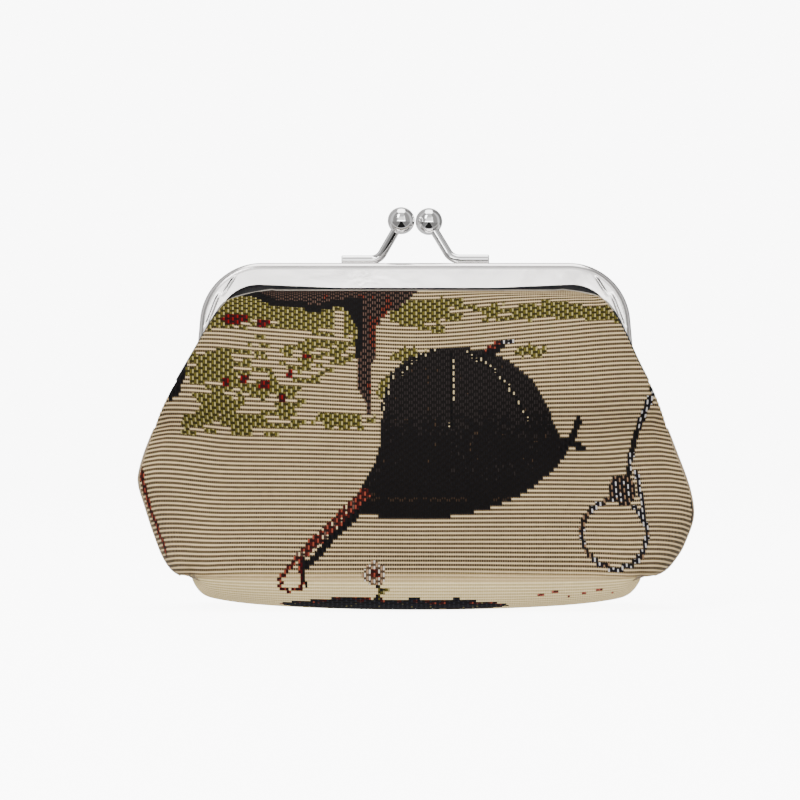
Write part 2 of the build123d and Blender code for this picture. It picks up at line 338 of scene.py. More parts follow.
CAP = rounded([
    (-8.5, 44), (-7.5, 57), (-1, 63.5), (9, 65.5), (20, 64), (29, 58), (33.5, 49), (35.5, 43), (39, 40),
    (33, 33.5), (24, 27.5), (12, 23.6), (-4, 22.8), (-15, 24.4), (-14, 30), (-9.5, 37),
])
PEAK = rounded([(-9, 34), (-15, 24.4), (-4, 22.8), (12, 23.6), (24, 27.5), (36, 37), (22, 32.5), (6, 29.5)])


# Each motif is woven into a picture p, whose stitches are at x and z (mm)


def foliage(p, x, z):
    """Leaves in level patches at the upper left and along the top, with berries."""
    leaf = patches(x, z, 21)
    share = 0.50 + 0.22 * smooth(69, 74, z) - 0.16 * smooth(5, 1, np.abs(z - 67.5)) * smooth(-30, -42, x)
    share = share - 0.06 * smooth(-30, -16, x) * smooth(70, 64, z)
    share = np.where(z < 56, 0.52 * smooth(40, 46, z) * smooth(-20, -36, x) + 0.02, share)
    share = share + 0.14 * smooth(7, 3, np.abs(x + 50)) * smooth(43, 47, z) * smooth(66, 60, z)
    left = smooth(-10, -15, x) * smooth(41, 44, z) * smooth(-60, -57, x)
    p.fill(leaf < share * left, LEAF)
    strip_edge = 1.2 + 2.0 * p.noise(6.0, EVEN, 5) + 0.9 * p.noise(1.6, 1.5, 6)
    strip = np.abs(z - 73.4 - 1.4 * p.noise(9.0, EVEN, 8)) < strip_edge
    p.fill(strip & (x > -6) & (x < 52) & (leaf < 0.66), LEAF)
    tufts = ((-1.5, 62.8, 4.5, 2.6), (29, 64.2, 4.2, 1.6), (-18, 47, 7.5, 2.4), (5, 70, 5, 0.8),
             (-7, 55, 2.5, 3.0))
    for bx, bz, wide, high in tufts:
        edge = p.oval(bx, bz, wide, high) + 0.7 * p.noise(1.4, 1.1, 9)
        p.fill(edge < 1.25, LEAF)
    berries = ((-45, 72.4, 3.4, 1.2), (-38, 71.4, 1.8, 0.9), (-47, 56.8, 1.1, 1.0), (-42.5, 57.4, 1.3, 0.9),
               (-37.5, 55.8, 1.6, 0.8), (-31, 58.5, 1.2, 0.7), (-33, 52.5, 1.0, 0.8), (-27, 63, 1.0, 0.7))
    for bx, bz, wide, high in berries:
        p.fill(p.oval(bx, bz, wide, high) < 1, BERRY)


def tree(p, x, z):
    """A tree: its crown under the frame, its trunk down to the cap."""
    crown_low = 74.0 + 1.2 * p.noise(5.0, EVEN, 12) + 3.6 * smooth(-32, -44, x) + 1.4 * smooth(-5, 0, x)
    crown = (z > crown_low) & (x > -45) & (x < 1.2 - 1.1 * (TOP_Z - z))
    p.fill(crown, BARK, DOTS)
    p.fill(crown & (p.noise(1.6, 2.0, 33) > 0.8), (EMBER, BROWN_DARK), DOTS)
    p.fill(crown & (z < crown_low + 1.9) & (x < -16), COAL, DOTS)
    lean = -12.6 + 0.05 * (z - 60) + 1.6 * smooth(58, 49, z)
    half_trunk = 0.7 + 1.7 * smooth(49, 64, z) + 0.35 * np.sin(0.6 * z) + 3.4 * smooth(68, 77, z)
    trunk = (np.abs(x - lean) < half_trunk) & (z > 48.5) & (z < 78)
    p.fill(trunk, BARK, DOTS)
    p.fill(trunk & (x < lean - 1.2) & (z > 62), COAL, DOTS)
    p.fill(trunk & (x > lean + 0.6) & (p.noise(0.9, 2.4, 14) > 0.55), (EMBER, BROWN_DARK), DOTS)
    p.fill((np.abs(x + 18.8) < 1.3) & (np.abs(z - 70.8) < 3.4), (CREAM, SHADE), RIB)


def riding_cap(p, x, z):
    """A riding cap with its peak, seams and bow."""
    cap = p.within(CAP)
    p.fill(cap, COAL, DOTS)
    upper = cap & (p.noise(0.6, 0.6, 17) < 0.15 + 0.95 * smooth(41, 54, z))
    p.fill(upper, (srgb(38, 33, 32), BLACK_DARK), DOTS)
    p.fill(cap & (z > 36) & (p.noise(0.8, 0.9, 18) > 0.90), (TAN * 0.22, BLACK_DARK), DOTS)
    band = cap & (np.abs(z - 27.5 - 0.002 * (x - 8) ** 2) < 0.6) & (p.noise(1.0, 1.0, 19) > 0.4)
    p.fill(band, (TAN * 0.16, BLACK_DARK), DOTS)
    p.fill(p.within(PEAK) & ~band, (srgb(14, 13, 15), srgb(4, 4, 5)), DOTS)
    seams = (
        [(-6.2, 60), (-7.2, 53)],
        [(8.9, 63.6), (9.4, 57), (8.6, 45.5)],
        [(13, 63.8), (19, 60), (24, 54), (28.0, 47)],
        [(4.5, 64.2), (0.0, 62.4), (-3.5, 58.5)],
    )
    for seam in seams:
        p.fill(cap & (p.away(seam) < 0.42), (SEAM, BLACK_DARK))
    side = p.away([(-5.0, 61), (-8.2, 50)])
    p.fill((side < 0.5) & (p.noise(EVEN, 1.2, 23) > 0.4), (SEAM, BLACK_DARK))
    bow = p.away([(36.5, 40), (39.0, 43), (40.5, 47)]) < 0.9
    bow |= p.away([(37, 41.4), (41.5, 40.4)]) < 0.7
    p.fill(bow, COAL)
    p.stroke([(17, 62.5), (22.0, 66.0)], 0.8, COAL)
    p.stroke([(17.5, 64.5), (21.0, 66.6)], 0.45, COPPER)
    p.stroke([(21.5, 66.4), (24.5, 67.0)], 0.5, CORD)


def riding_crop(p, x, z):
    """A riding crop with a loop at its end and a shadow beside it."""
    cap = p.within(CAP)
    shaft = p.away([(-12.5, 29), (-20, 21.5), (-28.5, 13.5)])
    p.fill(shaft < 1.35, COPPER)
    p.fill((shaft < 1.35) & (p.noise(0.6, 0.9, 27) > 0.72), (CREAM, BROWN))
    shade_side = p.away([(-12, 26.5), (-19.5, 19.0), (-27.0, 11.0)])
    p.fill((shade_side < 0.85) & ~cap & (shaft > 1.0), COAL)
    p.stroke([(-27.6, 13), (-27.4, 8), (-27.6, 6.2)], 0.45, COAL)
    loop = [(-28.5, 13.5), (-33, 8.5), (-34.6, 5.9), (-32, 4.4), (-29.2, 5.0), (-28.0, 8), (-28.2, 13.5)]
    p.stroke(loop, 0.5, (RUST, RED_DARK))


def rope_and_ring(p, x, z):
    """A rope that hangs from the right and holds a ring by a knot."""
    line = p.away([(60, 57), (57, 49), (54.5, 41), (53, 34)])
    p.fill(line < 0.7, CORD)
    p.fill((line < 0.8) & (p.noise(1.2, 1.6, 31) > 0.62), COAL)
    ring = np.abs(np.hypot(x - 49.0, (z - 19.2) * 1.02) - 8.2)
    p.fill(ring < 0.6, (TAN, BROWN_DARK))
    p.fill((ring < 0.6) & (p.noise(1.3, 1.3, 29) > 0.42), CORD)
    knot = p.oval(51.4, 29.9, 3.4, 3.7)
    p.fill(knot < 1, (TAN, BROWN_DARK))
    p.fill((knot < 0.8) & (p.noise(0.9, 1.2, 37) > 0.66), CORD)
    p.stroke([(55.0, 34), (56.2, 28), (56.8, 22)], 0.55, CORD)


def side_outlines(p, x, z):
    """Short coloured lines at both sides."""
    p.stroke([(-70.5, 35), (-68.5, 24), (-64, 14)], 0.8, COPPER)
    p.stroke([(-58.5, 61), (-60.5, 54)], 1.7, COAL)
    p.stroke([(73.0, 31), (73.4, 22)], 0.9, (BROWN, NAVY))


def hedge_and_blossom(p, x, z):
    """A low hedge lying along the base, one round pale blossom on a stem above it, and some specks."""
    middle_z = -2.0
    taper = np.sqrt(np.clip(1 - ((x + 5.5) / 29.0) ** 2, 0, 1))
    uneven = 3.2 + 1.3 * p.noise(3.4, EVEN, 43) + 0.7 * p.noise(1.1, EVEN, 44)
    half_high = uneven * taper
    hedge = np.abs(z - middle_z) < half_high
    near_top = z > middle_z + half_high - 1.6
    p.fill(hedge, (srgb(34, 34, 42), NAVY))
    p.fill(hedge & near_top & (p.noise(1.4, 0.9, 45) > 0.56), (RUST, RED_DARK))
    p.fill(hedge & (p.noise(0.8, 0.7, 46) > 0.82), (OLIVE * 0.45, NAVY))
    p.stroke([(-9.6, 7.5), (-9.0, 4.5), (-9.4, 1.5)], 0.55, (OLIVE_DARK, NAVY))
    p.stroke([(-9.0, 3.9), (-6.8, 5.3)], 0.6, LEAF)
    blossom = p.oval(-10, 9.4, 1, 1)
    p.fill(blossom < 2.9, (srgb(206, 196, 180), srgb(150, 120, 92)))
    p.fill(blossom < 1.1, COPPER)
    for k in range(6):
        speck = p.oval(31.5 + 3.7 * k, 3.2 + 0.9 * math.sin(2.1 * k), 0.9, 0.5)
        p.fill(speck < 1, (srgb(184, 104, 84), srgb(150, 78, 64)))


def bough(p, x, z):
    """Foliage above and below, and a bough with tufts of leaves and berries across the middle."""
    leaf = patches(x, z, 41)
    share = 0.55 * (smooth(34, 18, z) + smooth(66, 76, z))
    p.fill(leaf < share, LEAF)
    for k in range(9):
        p.fill(p.oval(-50 + 12.3 * k, 24 + 4 * math.sin(1.9 * k), 1.7, 1.0) < 1, BERRY)
    branch = p.away([(-46, 30), (-24, 40), (0, 44), (22, 52), (40, 50)])
    p.fill(branch < 1.4 + 0.5 * np.sin(0.6 * x), BARK, DOTS)
    for k in range(9):
        bx, bz = -42 + 10.0 * k, 38 + 2.6 * k + 6.5 * math.sin(2.3 * k)
        edge = p.oval(bx, bz, 4.6, 1.9) + 0.8 * p.noise(1.4, 1.1, 50 + k)
        p.fill(edge < 1.3, LEAF)
    for bx, bz in ((-22, 46), (-6, 50.5), (12, 55), (27, 57)):
        p.fill(p.oval(bx, bz, 1.5, 1.1) < 1, BERRY)


def woven(motifs, x, z):
    """The picture of these motifs on plain ribs."""
    picture = Picture(x, z)
    for motif in motifs:
        motif(picture, x, z)
    return picture.kind, picture.light, picture.dark


MOTIFS = {
    "front": (foliage, tree, riding_cap, riding_crop, rope_and_ring, side_outlines, hedge_and_blossom),
    "back": (bough,),
}

# --- relief ---


def cell_centres(grid):
    """Middle of each half stitch, row by row."""
    return grid[2 :: len(STEPS), 1::2]


def flat_x(mid, u_mid):
    """x across the front, and along the cloth where it turns to the side."""
    turn_at = 58.0
    x = mid[..., 0].copy()
    for i in range(len(x)):
        for side in (-1, 1):
            past = side * x[i] > turn_at
            if past.any():
                start = u_mid[past].min() if side > 0 else u_mid[past].max()
                beyond = side * (u_mid - start) >= 0
                x[i, beyond] = side * turn_at + (u_mid[beyond] - start)
    return x


def grid_normals(grid):
    """Unit normals of a grid of points (row, column, xyz)."""
    normal = np.cross(np.gradient(grid, axis=1), np.gradient(grid, axis=0))
    return normal / np.maximum(np.linalg.norm(normal, axis=2, keepdims=True), 1e-9)


def stitched(grid, u, v, kind, fade):
    """The grid moved out by each stitch's own relief, less where fade is low."""
    rows, cols = grid.shape[:2]
    row_cells = np.clip(np.arange(rows) // len(STEPS), 0, kind.shape[0] - 1)
    column_cells = np.clip(np.arange(cols) // 2, 0, kind.shape[1] - 1)
    kinds = kind[np.ix_(row_cells, column_cells)]
    fu, fv = u - np.floor(u), v - np.floor(v)
    crest = np.abs(np.sin(math.pi * fv))[:, None] ** 0.7 * np.ones((1, cols))
    tie = 0.12 * (0.5 + 0.5 * np.cos(2 * math.pi * fu))[None, :]
    rib = RIB_HEIGHT * (crest - tie * crest)
    column = np.abs(np.sin(2 * math.pi * fu)) ** 0.8
    stagger = 0.5 * (np.floor(u) % 2) + 0.5 * (np.floor(2 * u) % 2)
    turn = (v[:, None] / PERIOD + stagger[None, :]) % 1.0
    link = 0.55 + 0.45 * np.cos(2 * math.pi * (turn - 0.5))
    chain = CHAIN_HEIGHT * (0.35 + column[None, :] * link)
    relief = np.where(kinds == RIB, rib, chain)
    return grid + grid_normals(grid) * (relief * fade)[..., None]


def sag(points):
    """Soft, uneven swells of the cloth and its gathers under the frame, as movement along Y (mm)."""
    x, z = points[..., 0], points[..., 2]
    swell = 0.5 * np.sin(0.055 * x + 0.9) * np.sin(0.07 * z + 0.3) + 0.35 * np.sin(0.11 * x - 0.06 * z + 2.0)
    swell += 0.22 * np.sin(0.21 * x + 0.09 * z)
    keep = smooth(FOLD_Z, 18, z) * smooth(TOP_Z, 70, z) * smooth(66, 50, np.abs(x))
    near_frame = smooth(66, 76, z) * smooth(80.4, 78.0, z) * smooth(22, 38, np.abs(x))
    gathers = 0.33 * np.sin(1.02 * np.abs(x) + 0.22 * z) * near_frame
    return swell * keep + gathers


CORNER_X, CORNER_Z = 56.0, 9.6  # the middle of each sewn box corner


def corner_pull(points):
    """How far the sewn box corners pull the cloth in, and down, around them (mm)."""
    x, z = np.abs(points[..., 0]) - CORNER_X, points[..., 2] - CORNER_Z
    near = np.exp(-((x / 3.6) ** 2) - (z / 2.6) ** 2)
    wide = np.exp(-(((x + 1.0) / 9.0) ** 2) - ((z - 1.4) / 5.5) ** 2)
    crease = np.cos(1.1 * x + 0.8 * (z + 0.6))
    return 1.5 * near + 0.35 * wide * crease, 0.7 * wide


# --- materials ---


class Nodes:
    """A material's node tree, written in lines of code."""

    def __init__(self, name):
        self.material = bpy.data.materials.new(name)
        self.material.use_nodes = True
        self.tree = self.material.node_tree
        self.tree.nodes.clear()
        self.shader = self.add("BsdfPrincipled")
        self.add("OutputMaterial", {"Surface": self.shader.outputs[0]})
        self.place = self.add("TexCoord").outputs["Object"]

    def put(self, node, inputs):
        """Each input is linked to a socket or set to a value."""
        for key, value in inputs.items():
            if isinstance(value, bpy.types.NodeSocket):
                self.tree.links.new(value, node.inputs[key])
            else:
                node.inputs[key].default_value = value

    def add(self, kind, inputs=None, **props):
        node = self.tree.nodes.new("ShaderNode" + kind)
        for key, value in props.items():
            setattr(node, key, value)
        self.put(node, inputs or {})
        return node

    def math(self, operation, a, b=0.0, c=0.0):
        return self.add("Math", {0: a, 1: b, 2: c}, operation=operation).outputs[0]

    def one_minus(self, value):
        return self.math("SUBTRACT", 1.0, value)

    def times(self, a, b):
        return self.math("MULTIPLY", a, b)

    def scaled(self, value, by, plus):
        return self.math("MULTIPLY_ADD", value, by, plus)

    def off_middle(self, value):
        """Distance of the value's fraction from a half."""
        return self.math("ABSOLUTE", self.math("SUBTRACT", self.math("FRACT", value), 0.5))

    def mix(self, factor, a, b, blend="MIX"):
        return self.add("Mix", {0: factor, 6: a, 7: b}, data_type="RGBA", blend_type=blend).outputs[2]

    def range(self, value, low, high, to_low=0.0, to_high=1.0, how="SMOOTHSTEP"):
        inputs = {0: value, 1: low, 2: high, 3: to_low, 4: to_high}
        return self.add("MapRange", inputs, interpolation_type=how).outputs[0]

    def split(self, vector):
        return self.add("SeparateXYZ", {0: vector}).outputs

    def wave(self, direction, scale, where, distortion=0.0):
        inputs = {"Scale": scale, "Distortion": distortion, "Vector": where}
        return self.add("TexWave", inputs, wave_type="BANDS", bands_direction=direction).outputs["Fac"]

    def noise(self, scale, detail, distortion=0.0, where=None):
        inputs = {"Scale": scale, "Detail": detail, "Roughness": 0.55, "Distortion": distortion}
        return self.add("TexNoise", {**inputs, "Vector": where or self.place}).outputs["Fac"]

    def bump(self, height, strength, distance, normal=None):
        inputs = {"Strength": strength, "Distance": distance, "Height": height}
        if normal is not None:
            inputs["Normal"] = normal
        return self.add("Bump", inputs).outputs[0]

    def finish(self, base, roughness, **more):
        """The material, with its shader's inputs set: their names have _ for each space."""
        self.put(self.shader, {"Base Color": base, "Roughness": roughness})
        self.put(self.shader, {key.replace("_", " "): value for key, value in more.items()})
        return self.material


def tapestry_material(name):
    """Ribs with dark grooves, or upright stitches, in each stitch's own two yarns."""
    n = Nodes(name)
    uv = n.add("UVMap", uv_map="stitches").outputs[0]
    u, v, _ = n.split(uv)
    light = n.add("Attribute", attribute_name="light_yarn").outputs["Color"]
    dark = n.add("Attribute", attribute_name="dark_yarn").outputs["Color"]
    chain = n.add("Attribute", attribute_name="chain").outputs["Fac"]
    # ribs: light yarn over most of the row, a dark line in the groove, thinned where warp ties cross it
    doubled = n.times(u, 2.0)
    off_middle = n.off_middle(doubled)
    from_groove = n.math("SUBTRACT", 0.5, n.off_middle(v))
    at_tie = n.range(off_middle, 0.22, 0.44)
    width = n.scaled(n.noise(900, 2), 0.10, 0.288)
    width = n.times(width, n.scaled(at_tie, -0.24, 1.0))
    groove = n.range(n.math("SUBTRACT", from_groove, width), 0.05, -0.06)
    groove = n.times(groove, n.scaled(at_tie, -0.42, 1.0))
    # upright stitches: a light dash beside a darker one, staggered, with dark gaps; dots are short dashes
    right_half = n.math("FLOORED_MODULO", n.math("FLOOR", doubled), 2.0)
    stagger = n.times(n.math("FLOORED_MODULO", n.math("FLOOR", u), 2.0), 0.5)
    stagger = n.math("ADD", stagger, n.times(right_half, 0.5))
    off_dash = n.off_middle(n.math("ADD", n.math("DIVIDE", v, PERIOD), stagger))
    dots = n.range(chain, 1.2, 1.8)
    not_dots = n.one_minus(dots)
    reach = n.scaled(dots, -0.03, 0.32)
    oval = n.times(n.math("POWER", n.times(off_middle, 2.0), 3.0), 0.12)
    dash = n.range(n.math("SUBTRACT", n.math("ADD", off_dash, oval), reach), 0.035, -0.035)
    dash = n.times(dash, n.range(n.scaled(dots, 0.14, off_middle), 0.44, 0.29))
    is_light = n.times(dash, n.one_minus(n.times(right_half, not_dots)))
    is_second = n.times(n.times(dash, right_half), not_dots)
    is_chain = n.range(chain, 0.2, 0.8)
    gap = n.times(is_chain, n.one_minus(n.math("ADD", is_light, is_second)))
    use = n.add("Mix", {0: is_chain, 2: groove, 3: n.one_minus(is_light)}, data_type="FLOAT")
    dark_share = use.outputs[0]
    # yarn: fine twist, colour drifting from thread to thread
    twist = n.wave("DIAGONAL", 1.9, uv, 1.2)
    fine = n.noise(5200, 2)
    shade = n.scaled(n.noise(60, 3), 0.22, 0.86)
    shade = n.times(shade, n.range(fine, 0.25, 0.75, 0.86, 1.08))
    shade = n.times(shade, n.range(twist, 0.0, 1.0, 0.93, 1.03))
    gap_colour = n.mix(0.85, dark, (0.005, 0.0035, 0.003, 1))
    colour = n.mix(n.times(gap, 0.94), n.mix(dark_share, light, dark), gap_colour)
    grey = n.add("CombineColor", {0: shade, 1: shade, 2: shade}).outputs[0]
    height = n.scaled(twist, 0.5, n.times(fine, 0.7))
    height = n.math("SUBTRACT", height, n.times(dark_share, 0.6))
    return n.finish(
        n.mix(1.0, colour, grey, "MULTIPLY"),
        n.range(fine, 0.2, 0.8, 0.72, 0.92),
        Sheen_Weight=0.03,
        Sheen_Roughness=0.5,
        Specular_IOR_Level=0.07,
        Normal=n.bump(height, 0.55, 0.00009),
    )


def satin_material(name, base=(0.012, 0.012, 0.014)):
    """Satin: loose folds, a fine grain and a soft gloss; the folds' rises are painted lighter, a painted
    sheen.
    """
    n = Nodes(name)
    fold = n.noise(55, 4, 0.6)
    fine = n.noise(3500, 2)
    return n.finish(
        # painted sheen: the colour rises to 1.9 times the base where the fold noise is high
        n.mix(n.range(fold, 0.3, 0.7), (*base, 1), tuple(c * 1.9 for c in base) + (1,)),
        n.range(fine, 0.3, 0.7, 0.42, 0.6),
        Sheen_Weight=0.05,
        Specular_IOR_Level=0.3,
        Normal=n.bump(fine, 0.3, 0.00006, n.bump(fold, 0.5, 0.0008)),
    )


def binding_material(name, low=(0.006, 0.006, 0.007), high=(0.022, 0.021, 0.022)):
    """Plain cloth with a fine even weave."""
    n = Nodes(name)
    weave = n.times(n.wave("X", 520, n.place, 0.4), n.wave("Z", 520, n.place))
    colour, rough = n.mix(weave, (*low, 1), (*high, 1)), n.range(weave, 0, 1, 0.75, 0.9)
    return n.finish(colour, rough, Sheen_Weight=0.08, Normal=n.bump(weave, 0.6, 0.00012))


def metal_material(name, base, low, high, smudge, creases=()):
    """Plated metal with smudges, faint polishing lines and a ripple of the stamped sheet.

    The creases are (x, z, x, z) in mm, the same on both sides of the middle.
    """
    n = Nodes(name)
    cloud = n.noise(38, 4, 0.8)
    stretch = n.add("Mapping", {"Scale": (30, 900, 900), "Vector": n.place})
    lines = n.noise(1.4, 2, where=stretch.outputs[0])
    haze = n.range(cloud, 0.35, 0.75)
    rough = n.range(haze, 0, 1, low, high, "LINEAR")
    height = n.scaled(lines, 0.12, n.times(n.noise(900, 3), 0.1))
    ripple = n.bump(cloud, 0.18, 0.0009)
    side, _, up = n.split(n.place)
    for x0, z0, x1, z1 in creases:
        slope = (x1 - x0) / (z1 - z0)
        line_x = n.scaled(up, slope, (x0 - slope * z0) * MM)
        away = n.math("ABSOLUTE", n.math("SUBTRACT", n.math("ABSOLUTE", side), line_x))
        low_end, high_end = sorted((z0 * MM, z1 * MM))
        from_low = n.range(up, low_end - 0.001, low_end + 0.0015)
        to_high = n.range(up, high_end + 0.001, high_end - 0.0015)
        ends = n.times(from_low, to_high)
        valley = n.times(n.range(away, 0.0, 0.0007), ends)
        ripple = n.bump(n.math("ADD", valley, n.one_minus(ends)), 0.8, 0.00022, ripple)
    return n.finish(
        n.mix(haze, (*base, 1), tuple(c * smudge for c in base) + (1,)),
        n.math("ADD", rough, n.times(n.range(lines, 0.45, 0.7), 0.04)),
        Metallic=1.0,
        Normal=n.bump(height, 0.12, 0.00004, ripple),
    )


def paper_material(name):
    """Twisted brown paper cord."""
    n = Nodes(name)
    twist = n.wave("DIAGONAL", 380, n.place, 1.0)
    colour = n.mix(twist, (0.28, 0.18, 0.09, 1), (0.5, 0.36, 0.2, 1))
    return n.finish(colour, n.range(n.noise(700, 3), 0.3, 0.7, 0.75, 0.95), Normal=n.bump(twist, 0.7, 0.0002))


# --- meshes ---


def add_object(name, data):
    """A new object with this data, linked into the scene."""
    obj = bpy.data.objects.new(name, data)
    bpy.context.scene.collection.objects.link(obj)
    return obj


def add_mesh(name, verts, faces, material):
    """An object with a mesh of these points (m) and faces."""
    mesh = bpy.data.meshes.new(name)
    mesh.from_pydata(verts, [], faces)
    mesh.polygons.foreach_set("use_smooth", np.ones(len(faces), bool))
    mesh.materials.append(material)
    return add_object(name, mesh)


def grid_quads(rows, cols):
    """The faces of a grid of points, as corners."""
    index = np.arange(rows * cols).reshape(rows, cols)
    return np.stack([index[:-1, :-1], index[:-1, 1:], index[1:, 1:], index[1:, :-1]], -1).reshape(-1, 4)


def joined_mesh(name, points, quads, per_mm):
    """A smooth mesh of quads between points (mm), with points that are nearly the same joined.

    Also gives which quads are still faces, and which of their corners count.
    """
    keys = np.round(points * per_mm).astype(np.int64)
    _, first_at, joined = np.unique(keys, axis=0, return_index=True, return_inverse=True)
    corners = joined.ravel()[quads]
    differs = corners != np.roll(corners, -1, axis=1)
    whole = (differs.sum(1) >= 3) & (corners[:, 0] != corners[:, 2]) & (corners[:, 1] != corners[:, 3])
    corners, differs = corners[whole], differs[whole]
    sizes = differs.sum(1)
    mesh = bpy.data.meshes.new(name)
    mesh.vertices.add(len(first_at))
    mesh.vertices.foreach_set("co", (points[first_at] * MM).astype(np.float32).ravel())
    mesh.loops.add(int(sizes.sum()))
    mesh.loops.foreach_set("vertex_index", corners[differs].astype(np.int32))
    mesh.polygons.add(len(sizes))
    mesh.polygons.foreach_set("loop_start", np.concatenate([[0], np.cumsum(sizes)[:-1]]).astype(np.int32))
    mesh.polygons.foreach_set("use_smooth", np.ones(len(sizes), bool))
    mesh.update(calc_edges=True)
    return mesh, whole, differs


def ring_faces(rings, around, start=0):
    """Faces between rings of points, from the ring that begins at this point."""
    faces = []
    for a_ring in range(start, start + (rings - 1) * around, around):
        for k in range(around):
            a, b = a_ring + k, a_ring + (k + 1) % around
            faces.append((a, a + around, b + around, b))
    return faces


def ribbon(name, lines, y_rows, material, flip):
    """A strip through several (x, z) lines, each at its own depth."""
    verts, faces = [], []
    count = len(lines[0])
    for line, y in zip(lines, y_rows):
        verts += [(x * MM, (-y if flip else y) * MM, z * MM) for x, z in line]
    for r in range(len(lines) - 1):
        for k in range(count - 1):
            a, b = r * count + k, r * count + k + 1
            ring = (a, b, b + count, a + count)
            faces.append(ring[::-1] if flip else ring)
    return add_mesh(name, verts, faces, material)


def tube(name, points, radius, material, sides=10):
    """A round cord through points (mm)."""
    tangents = np.gradient(points, axis=0)
    tangents /= np.maximum(np.linalg.norm(tangents, axis=1, keepdims=True), 1e-9)
    up = np.array([0.0, 1.0, 0.0])
    verts = []
    for p, t in zip(points, tangents):
        a = np.cross(t, up)
        a /= max(np.linalg.norm(a), 1e-9)
        b = np.cross(t, a)
        for k in range(sides):
            angle = 2 * math.pi * k / sides
            verts.append(tuple((p + radius * (a * math.cos(angle) + b * math.sin(angle))) * MM))
    return add_mesh(name, verts, ring_faces(len(points), sides), material)


# --- cloth ---

# Each cell is half a stitch wide and one row high
cell_u = (np.arange(-2 * COLUMNS, 2 * COLUMNS) + 0.5) / 2
face_mid = cell_centres(face)
face_x = flat_x(face_mid, cell_u * STITCH_U)
face_z = face_mid[..., 2]


def panel_face(motifs):
    """The panel's face: its points, their u and v, its cells' kind and yarns, and each column's cell."""
    kind, light, dark = woven(motifs, face_x, face_z)
    # partly painted light: near the fold the ribs' dark groove yarn is painted towards the paler groove
    # colour, for the light from below and for grooves the ribs hide there
    near_fold = 0.75 * (1 - smooth(FOLD_Z + 0.3, FOLD_Z + 3.0, face_z))[..., None]
    dark = np.where((kind == RIB)[..., None], dark * (1 - near_fold) + UNDERLIT_GROOVE * near_fold, dark)
    high = (v_lines * STITCH_V)[:, None]
    fade = smooth(0.0, 0.9, room) * smooth(0.0, 1.5, high) * smooth(TOP_Z + 0.05, TOP_Z - 0.7, face[..., 2])
    points = stitched(face, u_lines, v_lines, kind, fade)
    inwards, down = corner_pull(face)
    off_fold = smooth(0.0, 2.0, high)
    points[..., 1] -= sag(face) + np.sign(face[..., 1]) * inwards * off_fold
    points[..., 2] -= down * off_fold
    return points, u_lines, v_lines, kind, light, dark, np.arange(len(u_lines) - 1) // 2


def panel_base(motifs):
    """The same for the panel's half of the base."""
    x = np.interp(cell_u, base_u, base[len(base) // 2, :, 0])
    z = FOLD_Z + (np.arange(-BASE_ROWS, 0) + 0.5) * STITCH_V
    kind, light, dark = woven(motifs, *np.meshgrid(x, z))
    rib = (kind == RIB)[..., None]
    # painted light: the base's plain ribs take the paler painted yarn pair, standing in for the light from
    # below and for the hidden grooves
    light, dark = np.where(rib, UNDERLIT_CREAM, light), np.where(rib, UNDERLIT_GROOVE, dark)
    spare = np.minimum(base_u - base_u[0], base_u[-1] - base_u) * STITCH_U
    fade = smooth(0.0, 1.0, base_steps + BASE_ROWS) * smooth(0.0, -1.0, base_steps)
    relief = 0.8 * RIB_HEIGHT * np.abs(np.sin(math.pi * (base_steps - np.floor(base_steps)))) * fade
    relief = relief[:, None] * smooth(0, 0.9, spare)[None, :]
    points = base + grid_normals(base) * relief[..., None]
    # the small step keeps a line that falls on a cell's edge with the cell after it
    columns = np.floor(2 * base_u[:-1] + 1e-6).astype(int) + 2 * COLUMNS
    return points, base_u, base_steps, kind, light, dark, np.clip(columns, 0, 4 * COLUMNS - 1)


def make_panel(name, motifs, flip):
    """A tapestry panel: its face and its half of the base in one mesh, with their yarns."""
    all_points, all_quads, all_uvs, all_yarns = [], [], [], []
    offset = 0
    for points, u, v, kind, light, dark, columns in (panel_face(motifs), panel_base(motifs)):
        rows, cols = points.shape[:2]
        all_points.append(points.reshape(-1, 3))
        all_quads.append(grid_quads(rows, cols) + offset)
        all_uvs.append(np.stack(np.meshgrid(u, v), -1).reshape(-1, 2))
        cells = np.ix_(np.arange(rows - 1) // len(STEPS), columns)
        solid = np.ones(kind.shape + (1,))
        yarns = np.concatenate([light, solid, dark, solid, kind[..., None]], -1)
        all_yarns.append(yarns[cells].reshape(-1, 9))
        offset += rows * cols
    points, quads = np.concatenate(all_points), np.concatenate(all_quads)
    if flip:
        points[:, 1] *= -1
        quads = quads[:, ::-1]
    mesh, whole, differs = joined_mesh(name, points, quads, 400)
    uvs = np.concatenate(all_uvs)[quads[whole][differs]]
    mesh.uv_layers.new(name="stitches").data.foreach_set("uv", uvs.astype(np.float32).ravel())
    yarns = np.concatenate(all_yarns)[whole].astype(np.float32)
    for label, part in (("light_yarn", yarns[:, :4]), ("dark_yarn", yarns[:, 4:8])):
        mesh.attributes.new(label, "FLOAT_COLOR", "FACE").data.foreach_set("color", part.ravel())
    mesh.attributes.new("chain", "FLOAT", "FACE").data.foreach_set("value", yarns[:, 8].copy())
    mesh.materials.append(tapestry)
    return add_object(name, mesh)


